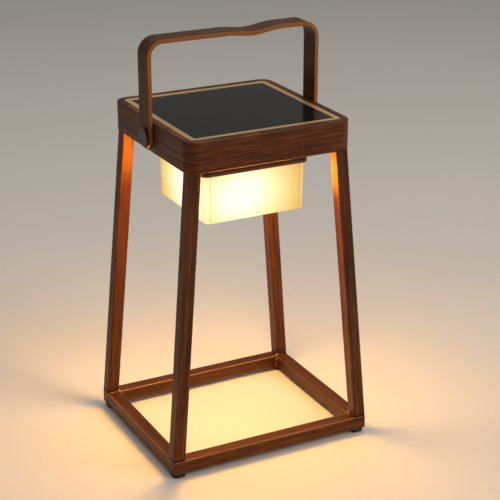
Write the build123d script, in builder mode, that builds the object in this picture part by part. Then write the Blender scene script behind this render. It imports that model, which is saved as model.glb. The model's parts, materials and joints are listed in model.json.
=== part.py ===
"""Solar lantern: a four-legged open frame, a solar lamp module held in its head, and a swinging carry handle.

Frame: +Z up, +X to the right, +Y to the back. The origin is on the ground, under the middle of the base.
All lengths are in millimetres.
"""

import os

from build123d import *

# Base frame: square tubes, mitred at the corners, on rubber feet
BASE_X = 240.0
BASE_Y = 200.0
RAIL = 15.0
RAIL_WALL = 1.6
EDGE_ROUND = 1.0
FOOT_H = 5.0
FOOT_SIZE = 15.0
FOOT_TAPER = 0.5
FOOT_INSET = 0.6
FOOT_ROUND = 4.0
KEY_ARM = 32.0

# Legs: square tubes that lean inwards to the head
LEG = 14.0
LEG_WALL = 1.5
LEG_TOP_X = 92.8
LEG_TOP_Y = 91.6
TUBE_INNER_ROUND = 0.5
PLUG_LENGTH = 25.0

# Head: a deep band with a floor and a narrow top lip
HEAD_HALF = 96.0
HEAD_ROUND = 13.5
HEAD_WALL = 2.0
HEAD_BOTTOM = 340.0
HEAD_TOP = 373.5
HEAD_EDGE = 2.0
LIP_HALF = 88.4
LIP_ROUND = 6.0
WELL_OPENING = 62.8

# Lamp module shells
BODY_HALF = 79.0
BODY_ROUND = 8.0
SHELL_WALL = 2.0
PLATE_T = 2.4
WELL_HALF = 61.8
WELL_ROUND = 7.0
WELL_FLOOR = 330.0
WELL_BOTTOM = 325.5
SEAL_T = 1.0
SHELF = 367.0
SHELF_T = 2.0
FLANGE_HALF = 87.4
RIM_INNER = 81.4
RIM_ROUND = 2.4

# Solar panel and its trim ring
RING_OUTER = 87.6
RING_INNER = 81.2
RING_BOTTOM = 371.9
RING_T = 1.3
PANEL_HALF = 81.0
PANEL_ROUND = 2.0
PANEL_CHAMFER = 0.3
GASKET_W = 7.0
GASKET_T = 0.6
BACKSHEET_T = 0.8
CELL_T = 0.2
GLASS_T = 2.1
CELL_COLUMNS = 4
CELL_ROWS = 6
CELL_GAP = 1.0
CELL_AREA = 156.0

# Diffuser: a drafted box of frosted plastic, with a collar round its top
DIFFUSER_TOP_HALF = 59.6
DIFFUSER_BOTTOM_HALF = 58.5
DIFFUSER_BOTTOM = 268.5
DIFFUSER_WALL = 2.2
DIFFUSER_ROUND = 5.0
DIFFUSER_EDGE = 2.0
DIFFUSER_SEAL_W = 3.0
COLLAR_HALF = 63.0
COLLAR_BOTTOM = 321.9
COLLAR_GAP = 0.3
COLLAR_EDGE = 0.8

# Handle: a formed flat strap on two shoulder bolts
PIVOT_Z = 356.0
STRAP_W = 25.0
STRAP_T = 4.6
STRAP_INNER = 96.5
STRAP_BEND = 18.0
STRAP_EDGE = 0.5
BAR_LEFT_Z = 460.5
BAR_DIP_Z = 458.0
BAR_RIGHT_Z = 461.9
DIP_START_X = -10.0
DIP_X = 22.0
DIP_END_X = 58.0
BOLT_R = 4.0
BOLT_THREAD_R = 3.0
BOLT_HEAD_R = 6.5
BOLT_HEAD_T = 1.4
CAP_R = 10.5
CAP_T = 2.4
CAP_EDGE = 0.9
CAP_GAP = 0.1
WASHER_R = 9.0
WASHER_T = 0.3
NUT_SIZE = (26.0, 18.0)
NUT_T = 5.0

# Screws: shank radius, head radius, head height, and socket across its corners and depth
LEG_SCREW_R = 2.45
LEG_SCREW_HEAD_R = 4.5
LEG_SCREW_HEAD_H = 2.8
LEG_SCREW_GRIP = 18.0
LEG_SOCKET_R = 2.3
LEG_SOCKET_DEPTH = 1.6
SCREW_RECESS_R = 4.8
MODULE_SCREW_AT = 70.0
MODULE_SCREW_R = 1.5
MODULE_SCREW_HEAD_R = 3.0
MODULE_SCREW_HEAD_H = 1.8
MODULE_SCREW_GRIP = 12.0
MODULE_SOCKET_R = 1.45
MODULE_SOCKET_DEPTH = 1.0
MODULE_BOSS_R = 4.0
SMALL_SCREW_R = 1.25
SMALL_SCREW_HEAD_R = 2.3
SMALL_SCREW_HEAD_H = 1.6

# Light board
LED_BOARD_HALF = 46.0
LED_BOARD_ROUND = 4.0
LED_SCREW_AT = 40.0
LED_PITCH = 22.0
LED_COUNT = 4
LED_SIZE = 3.0
LED_ROUND = 0.4
LED_T = 0.8

# Control board
BOARD_T = 1.6
BOARD_Y = -44.0
BOARD_HALF_X = 50.0
BOARD_HALF_Y = 13.0
BOARD_STANDOFF = 4.0
BOARD_BOSS_R = 2.8
BOARD_SCREWS = ((-46, -54), (46, -54), (-46, -34), (46, -34))
CONNECTORS_X = (-38.0, -30.0, 22.0, 38.0)
CONNECTOR_SIZE = 6.0
CHIP = (14.0, 14.0, 1.6)
COIL = (8.0, 8.0, 4.5)
CAPACITOR_R = 3.2
CAPACITOR_H = 8.0

# Battery pack
CELL_R = 9.2
CELL_LENGTH = 65.0
CELL_TIP_R = 3.2
CELL_TIP = 1.0
CELL_PITCH = 20.0
PACK_Y = 14.0
HOLDER_BASE = 1.8
HOLDER_MARGIN = 6.0
HOLDER_END = (2.4, 62.0, 13.0)
HOLDER_RIB = (1.2, 6.0)
CONTACT = (3.6, 8.0, 8.0)

# Internal leads
LEAD_R = 1.1
LEAD_BEND = 3.0
LEAD_HOLE_R = 1.6
UPPER_LEAD_Z = 357.0
LOWER_LEAD_Z = 353.0
LED_LEAD_AT = (-30.0, -25.0)
PANEL_LEAD_AT = (30.0, -44.0)
BATTERY_LEAD_X = 37.2
BATTERY_LEAD_Y = -10.0

# Power button and its switch
BUTTON_Y = 70.0
BUTTON_R = 4.4
BUTTON_BOTTOM = 337.6
BUTTON_EDGE = 0.8
BUTTON_GAP = 0.3
BUTTON_CAP_GAP = 1.4
BUTTON_BEZEL_R = 6.0
BEZEL_FLANGE = 1.2
BEZEL_EDGE = 0.5
STEM_R = 1.8
STEM_REACH = 2.0
STEM_HOLE_R = 3.0
SWITCH_SIZE = 12.0
SWITCH_H = 6.5
SWITCH_BORE_H = 4.2

# Charging port
PORT_X = -45.0
PORT_Z = 357.0
PORT_OPENING = (20.0, 10.0)
PORT_ROUND = 2.0
PORT_FLANGE = (24.0, 14.0)
PORT_FLANGE_Y = 92.5
PORT_SHELF_Y = 82.5
PORT_SHELF_W = 18.0
PORT_SHELF_T = 1.5
PORT_BOARD_T = 1.2
PORT_RECESS = 0.6
SOCKET_LENGTH = 7.4
SOCKET_HALF_X = 4.5
SOCKET_HALF_Z = 1.6
SOCKET_ROUND = 1.5
SOCKET_WALL = 0.4
TONGUE = (6.6, 5.0, 0.7)
COVER_GAP = 0.7
COVER_LIFT = 0.1
COVER_T = 1.4
COVER_ROUND = 1.4

# Clearances: round a fastener in its hole, between sliding faces, and how far a cut runs past a face
HOLE_CLEARANCE = 0.1
BOLT_CLEARANCE = 0.05
CUT = 1.0

# Heights and places that follow from the sizes above
rail_bottom = FOOT_H
rail_top = rail_bottom + RAIL
leg_foot_x = BASE_X / 2 - LEG / 2
leg_foot_y = BASE_Y / 2 - LEG / 2
leg_head_x = LEG_TOP_X - LEG / 2
leg_head_y = LEG_TOP_Y - LEG / 2
head_floor = HEAD_BOTTOM + HEAD_WALL
head_inner = HEAD_HALF - HEAD_WALL
plate_top = head_floor + PLATE_T
wall_bottom = plate_top + SEAL_T
shelf_top = SHELF + SHELF_T
backsheet_bottom = shelf_top + GASKET_T
cell_bottom = backsheet_bottom + BACKSHEET_T
glass_bottom = cell_bottom + CELL_T
well_top = WELL_FLOOR + SHELL_WALL
led_board_bottom = WELL_FLOOR - BOARD_T
board_bottom = well_top + BOARD_STANDOFF
board_top = board_bottom + BOARD_T
connector_top = board_top + CONNECTOR_SIZE
battery_z = well_top + HOLDER_BASE + CELL_R
strap_outer = STRAP_INNER + STRAP_T
arm_end = PIVOT_Z - STRAP_W / 2
bezel_face = HEAD_HALF - PORT_RECESS
socket_back = bezel_face - SOCKET_LENGTH
port_board_top = PORT_Z - SOCKET_HALF_Z

CORNERS = {
    "front_left": (-1, -1),
    "front_right": (1, -1),
    "back_left": (-1, 1),
    "back_right": (1, 1),
}


def write(part, name):
    part.label = name
    export_step(part, f"parts/{name}.step")


def slab(half, radius, bottom, top, mode=Mode.ADD):
    """A rounded square plate between two heights, inside the open BuildPart."""
    with BuildSketch(Plane.XY.offset(bottom)) as plan:
        RectangleRounded(2 * half, 2 * half, radius)
    extrude(plan.sketch, amount=top - bottom, mode=mode)


def block(center, size, mode=Mode.ADD):
    """A box given by the middle of its bottom face and its size."""
    x, y, bottom = center
    with BuildSketch(Plane.XY.offset(bottom)) as plan:
        with Locations((x, y)):
            Rectangle(size[0], size[1])
    extrude(plan.sketch, amount=size[2], mode=mode)


def upright(x, y, radius, bottom, top, mode=Mode.ADD):
    """A vertical cylinder between two heights."""
    with BuildSketch(Plane.XY.offset(bottom)) as plan:
        with Locations((x, y)):
            Circle(radius)
    extrude(plan.sketch, amount=top - bottom, mode=mode)


def hex_socket(x, y, radius, bottom, depth):
    """A hexagon socket cut upwards into a screw head."""
    with BuildSketch(Plane.XY.offset(bottom)) as plan:
        with Locations((x, y)):
            RegularPolygon(radius, 6)
    extrude(plan.sketch, amount=depth, mode=Mode.SUBTRACT)


def across(x_start, x_end, radius, mode=Mode.ADD):
    """A cylinder on the handle's pivot axis, from one X to another."""
    with BuildSketch(Plane.YZ.offset(x_start)) as section:
        with Locations((0, PIVOT_Z)):
            Circle(radius)
    extrude(section.sketch, amount=x_end - x_start, mode=mode)


def frame_ring(outer_half, inner_half, radius, bottom, top):
    """A flat square ring with rounded corners."""
    slab(outer_half, radius, bottom, top)
    inner_radius = max(radius - (outer_half - inner_half), 1.5)
    slab(inner_half, inner_radius, bottom, top, Mode.SUBTRACT)


def corner_points(offset_x, offset_y):
    """The same point in each of the four corners."""
    return [(side_x * offset_x, side_y * offset_y) for side_x, side_y in CORNERS.values()]


os.makedirs("parts", exist_ok=True)

# ---------------------------------------------------------------- base frame


def mitred_bar(long_half, cross_half, inset, mode=Mode.ADD):
    """The front rail's bar with mitred ends, drawn inset from the rail's faces."""
    outer = cross_half - inset
    inner = cross_half - RAIL + inset
    reach = long_half - cross_half
    with BuildSketch(Plane.XY.offset(rail_bottom + inset)) as plan:
        with BuildLine():
            Polyline(
                (-reach - outer, -outer),
                (reach + outer, -outer),
                (reach + inner, -inner),
                (-reach - inner, -inner),
                close=True,
            )
        make_face()
    extrude(plan.sketch, amount=RAIL - 2 * inset, mode=mode)


for rail_name, turn, long_half, cross_half in (
    ("base_rail_front", 0, BASE_X / 2, BASE_Y / 2),
    ("base_rail_right", 90, BASE_Y / 2, BASE_X / 2),
    ("base_rail_back", 180, BASE_X / 2, BASE_Y / 2),
    ("base_rail_left", 270, BASE_Y / 2, BASE_X / 2),
):
    with BuildPart() as rail:
        mitred_bar(long_half, cross_half, 0)
        fillet(rail.edges().filter_by(Axis.X), EDGE_ROUND)
        mitred_bar(long_half, cross_half, RAIL_WALL, Mode.SUBTRACT)
        hole_r = LEG_SCREW_R + HOLE_CLEARANCE
        for side in (-1, 1):
            hole_x = side * (long_half - LEG / 2)
            upright(hole_x, LEG / 2 - cross_half, hole_r, 0, rail_top + CUT, Mode.SUBTRACT)
    write(rail.part.rotate(Axis.Z, turn), rail_name)

key_half = RAIL / 2 - RAIL_WALL - HOLE_CLEARANCE
key_bottom = rail_bottom + RAIL / 2 - key_half
key_top = key_bottom + 2 * key_half
with BuildPart() as base_corner_keys:
    for side_x, side_y in CORNERS.values():
        key_x = side_x * (BASE_X / 2 - RAIL / 2)
        key_y = side_y * (BASE_Y / 2 - RAIL / 2)
        reach = KEY_ARM / 2 - key_half
        block((key_x - side_x * reach, key_y, key_bottom), (KEY_ARM, 2 * key_half, 2 * key_half))
        block((key_x, key_y - side_y * reach, key_bottom), (2 * key_half, KEY_ARM, 2 * key_half))
    for x, y in corner_points(leg_foot_x, leg_foot_y):
        upright(x, y, LEG_SCREW_R + HOLE_CLEARANCE, key_bottom - CUT, key_top + CUT, Mode.SUBTRACT)
write(base_corner_keys.part, "base_corner_keys")

foot_middle = FOOT_INSET + FOOT_SIZE / 2
for corner, (side_x, side_y) in CORNERS.items():
    foot_at = (side_x * (BASE_X / 2 - foot_middle), side_y * (BASE_Y / 2 - foot_middle))
    with BuildPart() as foot_pad:
        for width, height in ((FOOT_SIZE - 2 * FOOT_TAPER, 0), (FOOT_SIZE, FOOT_H)):
            with BuildSketch(Plane.XY.offset(height)):
                with Locations(foot_at):
                    RectangleRounded(width, width, FOOT_ROUND)
        loft()
        screw_x = side_x * leg_foot_x
        screw_y = side_y * leg_foot_y
        upright(screw_x, screw_y, SCREW_RECESS_R, -CUT, FOOT_H + CUT, Mode.SUBTRACT)
    write(foot_pad.part, f"foot_pad_{corner}")

leg_screw_tip = rail_top + LEG_SCREW_GRIP
with BuildPart() as leg_base_screws:
    for x, y in corner_points(leg_foot_x, leg_foot_y):
        head_bottom = FOOT_H - LEG_SCREW_HEAD_H
        upright(x, y, LEG_SCREW_HEAD_R, head_bottom, FOOT_H)
        upright(x, y, LEG_SCREW_R, FOOT_H, leg_screw_tip)
        hex_socket(x, y, LEG_SOCKET_R, head_bottom, LEG_SOCKET_DEPTH)
write(leg_base_screws.part, "leg_base_screws")

# ---------------------------------------------------------------------- legs


def leg_center(height):
    """Distance of a leg's middle from the lantern's axis in X and Y at a height."""
    along = (height - rail_top) / (HEAD_BOTTOM - rail_top)
    return (
        leg_foot_x + along * (leg_head_x - leg_foot_x),
        leg_foot_y + along * (leg_head_y - leg_foot_y),
    )


def leaning_bar(side_x, side_y, width, radius, bottom, top, mode=Mode.ADD):
    """A square bar that follows a leg's lean between two heights."""
    sections = []
    for height in (bottom, top):
        x, y = leg_center(height)
        with BuildSketch(Plane.XY.offset(height)) as section:
            with Locations((side_x * x, side_y * y)):
                RectangleRounded(width, width, radius)
        sections.append(section.sketch)
    loft(sections, mode=mode)


tube_bore = LEG - 2 * LEG_WALL
for corner, (side_x, side_y) in CORNERS.items():
    with BuildPart() as leg:
        leaning_bar(side_x, side_y, LEG, EDGE_ROUND, rail_top, HEAD_BOTTOM)
        leaning_bar(side_x, side_y, tube_bore, TUBE_INNER_ROUND, rail_top, HEAD_BOTTOM, Mode.SUBTRACT)
    write(leg.part, f"leg_{corner}")

plug_width = tube_bore - 2 * HOLE_CLEARANCE
plug_hole_r = LEG_SCREW_R + BOLT_CLEARANCE
top_hole_bottom = HEAD_BOTTOM - LEG_SCREW_GRIP - CUT
with BuildPart() as leg_end_plugs:
    for side_x, side_y in CORNERS.values():
        for bottom in (rail_top, HEAD_BOTTOM - PLUG_LENGTH):
            top = bottom + PLUG_LENGTH
            leaning_bar(side_x, side_y, plug_width, TUBE_INNER_ROUND, bottom, top)
    for x, y in corner_points(leg_foot_x, leg_foot_y):
        upright(x, y, plug_hole_r, rail_top - CUT, leg_screw_tip + CUT, Mode.SUBTRACT)
    for x, y in corner_points(leg_head_x, leg_head_y):
        upright(x, y, plug_hole_r, top_hole_bottom, HEAD_BOTTOM + CUT, Mode.SUBTRACT)
write(leg_end_plugs.part, "leg_end_plugs")

with BuildPart() as leg_top_screws:
    for x, y in corner_points(leg_head_x, leg_head_y):
        upright(x, y, LEG_SCREW_R, HEAD_BOTTOM - LEG_SCREW_GRIP, head_floor)
        upright(x, y, LEG_SCREW_HEAD_R, head_floor, head_floor + LEG_SCREW_HEAD_H)
write(leg_top_screws.part, "leg_top_screws")

# ---------------------------------------------------------------------- head

with BuildPart() as head_frame:
    slab(HEAD_HALF, HEAD_ROUND, HEAD_BOTTOM, HEAD_TOP)
    fillet(head_frame.edges().group_by(Axis.Z)[-1], HEAD_EDGE)
    fillet(head_frame.edges().group_by(Axis.Z)[0], EDGE_ROUND)
    slab(head_inner, HEAD_ROUND - HEAD_WALL, head_floor, HEAD_TOP - HEAD_WALL, Mode.SUBTRACT)
    slab(LIP_HALF, LIP_ROUND, HEAD_TOP - HEAD_WALL - CUT, HEAD_TOP + CUT, Mode.SUBTRACT)
    slab(WELL_OPENING, WELL_ROUND + 1, HEAD_BOTTOM - CUT, head_floor + CUT, Mode.SUBTRACT)
    across(-HEAD_HALF - CUT, HEAD_HALF + CUT, BOLT_THREAD_R + HOLE_CLEARANCE, Mode.SUBTRACT)
    floor_holes = [(x, y, LEG_SCREW_R) for x, y in corner_points(leg_head_x, leg_head_y)]
    floor_holes += [(x, y, MODULE_SCREW_R) for x, y in corner_points(MODULE_SCREW_AT, MODULE_SCREW_AT)]
    floor_holes.append((0, BUTTON_Y, BUTTON_BEZEL_R))
    for x, y, radius in floor_holes:
        upright(x, y, radius + HOLE_CLEARANCE, HEAD_BOTTOM - CUT, head_floor + CUT, Mode.SUBTRACT)
    with BuildSketch(Plane.XZ.offset(-HEAD_HALF - CUT)):
        with Locations((PORT_X, PORT_Z)):
            RectangleRounded(*PORT_OPENING, PORT_ROUND)
    extrude(amount=HEAD_WALL + 2 * CUT, mode=Mode.SUBTRACT)
write(head_frame.part, "head_frame")

# --------------------------------------------------------------- lamp module

well_inner = WELL_HALF - SHELL_WALL
well_inner_round = WELL_ROUND - SHELL_WALL
with BuildPart() as lamp_base:
    slab(BODY_HALF, BODY_ROUND, head_floor, plate_top)
    slab(WELL_HALF, WELL_ROUND, WELL_BOTTOM, plate_top)
    slab(well_inner, well_inner_round, well_top, plate_top + CUT, Mode.SUBTRACT)
    slab(well_inner, well_inner_round, WELL_BOTTOM - CUT, WELL_FLOOR, Mode.SUBTRACT)
    for x, y in BOARD_SCREWS:
        upright(x, y, BOARD_BOSS_R, well_top, board_bottom)
        boss_hole_r = SMALL_SCREW_R + BOLT_CLEARANCE
        upright(x, y, boss_hole_r, well_top + BOLT_CLEARANCE, board_bottom, Mode.SUBTRACT)
    for x, y in corner_points(LED_SCREW_AT, LED_SCREW_AT):
        upright(x, y, SMALL_SCREW_R + BOLT_CLEARANCE, WELL_FLOOR - CUT, well_top + CUT, Mode.SUBTRACT)
    for x, y in corner_points(MODULE_SCREW_AT, MODULE_SCREW_AT):
        upright(x, y, MODULE_SCREW_R + HOLE_CLEARANCE, head_floor - CUT, plate_top + CUT, Mode.SUBTRACT)
    upright(*LED_LEAD_AT, LEAD_HOLE_R, WELL_FLOOR - CUT, well_top + CUT, Mode.SUBTRACT)
    upright(0, BUTTON_Y, STEM_HOLE_R, head_floor - CUT, plate_top + CUT, Mode.SUBTRACT)
write(lamp_base.part, "lamp_base")

body_inner = BODY_HALF - SHELL_WALL
with BuildPart() as body_seal:
    frame_ring(BODY_HALF, body_inner, BODY_ROUND, plate_top, wall_bottom)
write(body_seal.part, "body_seal")

module_screw_tip = wall_bottom + MODULE_SCREW_GRIP
with BuildPart() as solar_tray:
    slab(BODY_HALF, BODY_ROUND, wall_bottom, shelf_top)
    slab(body_inner, BODY_ROUND - SHELL_WALL, wall_bottom - CUT, SHELF, Mode.SUBTRACT)
    slab(FLANGE_HALF, LIP_ROUND - 1, SHELF, RING_BOTTOM)
    slab(RIM_INNER, RIM_ROUND, shelf_top, RING_BOTTOM + CUT, Mode.SUBTRACT)
    for x, y in corner_points(MODULE_SCREW_AT, MODULE_SCREW_AT):
        upright(x, y, MODULE_BOSS_R, wall_bottom, SHELF)
        boss_hole_r = MODULE_SCREW_R + BOLT_CLEARANCE
        upright(x, y, boss_hole_r, wall_bottom - CUT, module_screw_tip + CUT, Mode.SUBTRACT)
    upright(*PANEL_LEAD_AT, LEAD_HOLE_R, SHELF - CUT, shelf_top + CUT, Mode.SUBTRACT)
    with BuildSketch(Plane.XZ.offset(-BODY_HALF - CUT)):
        with Locations((PORT_X, PORT_Z)):
            Circle(LEAD_HOLE_R)
    extrude(amount=SHELL_WALL + 2 * CUT, mode=Mode.SUBTRACT)
write(solar_tray.part, "solar_tray")

with BuildPart() as module_screws:
    for x, y in corner_points(MODULE_SCREW_AT, MODULE_SCREW_AT):
        head_bottom = HEAD_BOTTOM - MODULE_SCREW_HEAD_H
        upright(x, y, MODULE_SCREW_HEAD_R, head_bottom, HEAD_BOTTOM)
        upright(x, y, MODULE_SCREW_R, HEAD_BOTTOM, module_screw_tip)
        hex_socket(x, y, MODULE_SOCKET_R, head_bottom, MODULE_SOCKET_DEPTH)
write(module_screws.part, "module_screws")

# --------------------------------------------------------------- solar panel

with BuildPart() as panel_gasket:
    frame_ring(PANEL_HALF, PANEL_HALF - GASKET_W, PANEL_ROUND, shelf_top, backsheet_bottom)
write(panel_gasket.part, "panel_gasket")

with BuildPart() as panel_backsheet:
    slab(PANEL_HALF, PANEL_ROUND, backsheet_bottom, cell_bottom)
write(panel_backsheet.part, "panel_backsheet")

cell_x = CELL_AREA / CELL_COLUMNS
cell_y = CELL_AREA / CELL_ROWS
with BuildPart() as solar_cells:
    with BuildSketch(Plane.XY.offset(cell_bottom)):
        with GridLocations(cell_x, cell_y, CELL_COLUMNS, CELL_ROWS):
            Rectangle(cell_x - CELL_GAP, cell_y - CELL_GAP)
    extrude(amount=CELL_T)
write(solar_cells.part, "solar_cells")

with BuildPart() as panel_glass:
    slab(PANEL_HALF, PANEL_ROUND, glass_bottom, glass_bottom + GLASS_T)
    chamfer(panel_glass.faces().sort_by(Axis.Z)[-1].edges(), PANEL_CHAMFER)
write(panel_glass.part, "panel_glass")

with BuildPart() as trim_ring:
    frame_ring(RING_OUTER, RING_INNER, LIP_ROUND - 1, RING_BOTTOM, RING_BOTTOM + RING_T)
    chamfer(trim_ring.faces().sort_by(Axis.Z)[-1].edges(), PANEL_CHAMFER)
write(trim_ring.part, "trim_ring")

# ----------------------------------------------------------- light and power


def drafted_box(inset, bottom, top, mode=Mode.ADD):
    """The diffuser's tapered box, drawn inset from its faces."""
    sections = []
    for half, height in ((DIFFUSER_BOTTOM_HALF, bottom), (DIFFUSER_TOP_HALF, top)):
        with BuildSketch(Plane.XY.offset(height)) as section:
            width = 2 * (half - inset)
            RectangleRounded(width, width, DIFFUSER_ROUND - inset)
        sections.append(section.sketch)
    loft(sections, mode=mode)


diffuser_top = WELL_FLOOR - SEAL_T
with BuildPart() as diffuser:
    drafted_box(0, DIFFUSER_BOTTOM, diffuser_top)
    fillet(diffuser.faces().sort_by(Axis.Z)[0].edges(), DIFFUSER_EDGE)
    drafted_box(DIFFUSER_WALL, DIFFUSER_BOTTOM + DIFFUSER_WALL, diffuser_top, Mode.SUBTRACT)
write(diffuser.part, "diffuser")

with BuildPart() as diffuser_seal:
    frame_ring(DIFFUSER_TOP_HALF, DIFFUSER_TOP_HALF - DIFFUSER_SEAL_W, DIFFUSER_ROUND, diffuser_top, WELL_FLOOR)
write(diffuser_seal.part, "diffuser_seal")

with BuildPart() as diffuser_collar:
    slab(COLLAR_HALF, WELL_ROUND + 1, COLLAR_BOTTOM, WELL_BOTTOM)
    fillet(diffuser_collar.faces().sort_by(Axis.Z)[0].edges(), COLLAR_EDGE)
    collar_inner = DIFFUSER_TOP_HALF + COLLAR_GAP
    collar_inner_round = DIFFUSER_ROUND + COLLAR_GAP
    slab(collar_inner, collar_inner_round, COLLAR_BOTTOM - CUT, WELL_BOTTOM + CUT, Mode.SUBTRACT)
write(diffuser_collar.part, "diffuser_collar")

with BuildPart() as led_board:
    slab(LED_BOARD_HALF, LED_BOARD_ROUND, led_board_bottom, WELL_FLOOR)
    for x, y in corner_points(LED_SCREW_AT, LED_SCREW_AT):
        hole_r = SMALL_SCREW_R + HOLE_CLEARANCE
        upright(x, y, hole_r, led_board_bottom - CUT, WELL_FLOOR + CUT, Mode.SUBTRACT)
write(led_board.part, "led_board")

with BuildPart() as led_emitters:
    with BuildSketch(Plane.XY.offset(led_board_bottom - LED_T)):
        with GridLocations(LED_PITCH, LED_PITCH, LED_COUNT, LED_COUNT):
            RectangleRounded(LED_SIZE, LED_SIZE, LED_ROUND)
    extrude(amount=LED_T)
write(led_emitters.part, "led_emitters")

with BuildPart() as led_board_screws:
    for x, y in corner_points(LED_SCREW_AT, LED_SCREW_AT):
        upright(x, y, SMALL_SCREW_HEAD_R, led_board_bottom - SMALL_SCREW_HEAD_H, led_board_bottom)
        upright(x, y, SMALL_SCREW_R, led_board_bottom, well_top)
write(led_board_screws.part, "led_board_screws")

holder_half_x = CELL_LENGTH / 2 + HOLDER_MARGIN
holder_end_x = holder_half_x - HOLDER_END[0] / 2
with BuildPart() as battery_holder:
    block((0, PACK_Y, well_top), (2 * holder_half_x, HOLDER_END[1], HOLDER_BASE))
    for side in (-1, 1):
        block((side * holder_end_x, PACK_Y, well_top), HOLDER_END)
    for row in (-1.5, -0.5, 0.5, 1.5):
        rib_y = PACK_Y + row * CELL_PITCH
        block((0, rib_y, well_top), (2 * holder_half_x, *HOLDER_RIB))
write(battery_holder.part, "battery_holder")

for number in (1, 2, 3):
    battery_y = PACK_Y + (number - 2) * CELL_PITCH
    with BuildPart() as battery_cell:
        with BuildSketch(Plane.YZ.offset(-CELL_LENGTH / 2)):
            with Locations((battery_y, battery_z)):
                Circle(CELL_R)
        extrude(amount=CELL_LENGTH - CELL_TIP)
        with BuildSketch(Plane.YZ.offset(CELL_LENGTH / 2 - CELL_TIP)):
            with Locations((battery_y, battery_z)):
                Circle(CELL_TIP_R)
        extrude(amount=CELL_TIP)
    write(battery_cell.part, f"battery_cell_{number}")

contact_x = CELL_LENGTH / 2 + CONTACT[0] / 2
with BuildPart() as battery_contacts:
    for side in (-1, 1):
        for row in (-1, 0, 1):
            contact_y = PACK_Y + row * CELL_PITCH
            block((side * contact_x, contact_y, battery_z - CONTACT[2] / 2), CONTACT)
write(battery_contacts.part, "battery_contacts")

with BuildPart() as control_board:
    block((0, BOARD_Y, board_bottom), (2 * BOARD_HALF_X, 2 * BOARD_HALF_Y, BOARD_T))
    for x, y in BOARD_SCREWS:
        hole_r = SMALL_SCREW_R + HOLE_CLEARANCE
        upright(x, y, hole_r, board_bottom - CUT, board_top + CUT, Mode.SUBTRACT)
write(control_board.part, "control_board")

with BuildPart() as control_board_parts:
    for x in CONNECTORS_X:
        block((x, BOARD_Y, board_top), (CONNECTOR_SIZE, CONNECTOR_SIZE, CONNECTOR_SIZE))
    block((-8, BOARD_Y, board_top), CHIP)
    block((8, BOARD_Y + 4, board_top), COIL)
    upright(8, BOARD_Y - 7, CAPACITOR_R, board_top, board_top + CAPACITOR_H)
write(control_board_parts.part, "control_board_parts")

with BuildPart() as control_board_screws:
    for x, y in BOARD_SCREWS:
        upright(x, y, SMALL_SCREW_HEAD_R, board_top, board_top + SMALL_SCREW_HEAD_H)
        upright(x, y, SMALL_SCREW_R, well_top + HOLE_CLEARANCE, board_top)
write(control_board_screws.part, "control_board_screws")


def write_lead(points, name):
    """A round two-core lead along straight runs joined by arcs."""
    with BuildPart() as lead:
        with BuildLine() as route:
            FilletPolyline(*points, radius=LEAD_BEND)
        with BuildSketch(Plane(origin=route.line @ 0, z_dir=route.line % 0)):
            Circle(LEAD_R)
        sweep()
    write(lead.part, name)


write_lead(
    (
        (*PANEL_LEAD_AT, backsheet_bottom),
        (*PANEL_LEAD_AT, UPPER_LEAD_Z),
        (CONNECTORS_X[2], BOARD_Y, UPPER_LEAD_Z),
        (CONNECTORS_X[2], BOARD_Y, connector_top),
    ),
    "panel_lead",
)
write_lead(
    (
        (*LED_LEAD_AT, WELL_FLOOR),
        (*LED_LEAD_AT, LOWER_LEAD_Z),
        (CONNECTORS_X[1], BOARD_Y, LOWER_LEAD_Z),
        (CONNECTORS_X[1], BOARD_Y, connector_top),
    ),
    "led_lead",
)
write_lead(
    (
        (BATTERY_LEAD_X, BATTERY_LEAD_Y, well_top + HOLDER_END[2]),
        (BATTERY_LEAD_X, BATTERY_LEAD_Y, UPPER_LEAD_Z),
        (BATTERY_LEAD_X, BOARD_Y, UPPER_LEAD_Z),
        (BATTERY_LEAD_X, BOARD_Y, connector_top),
    ),
    "battery_lead",
)

# ------------------------------------------------------------------ controls

with BuildPart() as button_bezel:
    upright(0, BUTTON_Y, BUTTON_BEZEL_R, HEAD_BOTTOM, head_floor)
    upright(0, BUTTON_Y, BUTTON_BEZEL_R + BEZEL_FLANGE, HEAD_BOTTOM - BEZEL_FLANGE, HEAD_BOTTOM)
    fillet(button_bezel.faces().sort_by(Axis.Z)[0].edges(), BEZEL_EDGE)
    upright(0, BUTTON_Y, BUTTON_R + BUTTON_GAP, HEAD_BOTTOM - 2, head_floor + CUT, Mode.SUBTRACT)
write(button_bezel.part, "button_bezel")

button_cap_top = head_floor - BUTTON_CAP_GAP
with BuildPart() as power_button:
    upright(0, BUTTON_Y, BUTTON_R, BUTTON_BOTTOM, button_cap_top)
    fillet(power_button.faces().sort_by(Axis.Z)[0].edges(), BUTTON_EDGE)
    upright(0, BUTTON_Y, STEM_R, button_cap_top, plate_top + STEM_REACH)
write(power_button.part, "power_button")

with BuildPart() as power_switch:
    block((0, BUTTON_Y, plate_top), (SWITCH_SIZE, SWITCH_SIZE, SWITCH_H))
    bore_top = plate_top + SWITCH_BORE_H
    upright(0, BUTTON_Y, STEM_R + BUTTON_GAP, plate_top - CUT, bore_top, Mode.SUBTRACT)
write(power_switch.part, "power_switch")


def port_slab(width, height, radius, front, back, mode=Mode.ADD):
    """A rounded plate centred on the charging port, between two Y planes."""
    with BuildSketch(Plane.XZ.offset(-back)) as outline:
        with Locations((PORT_X, PORT_Z)):
            RectangleRounded(width, height, radius)
    extrude(outline.sketch, amount=back - front, mode=mode)


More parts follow.
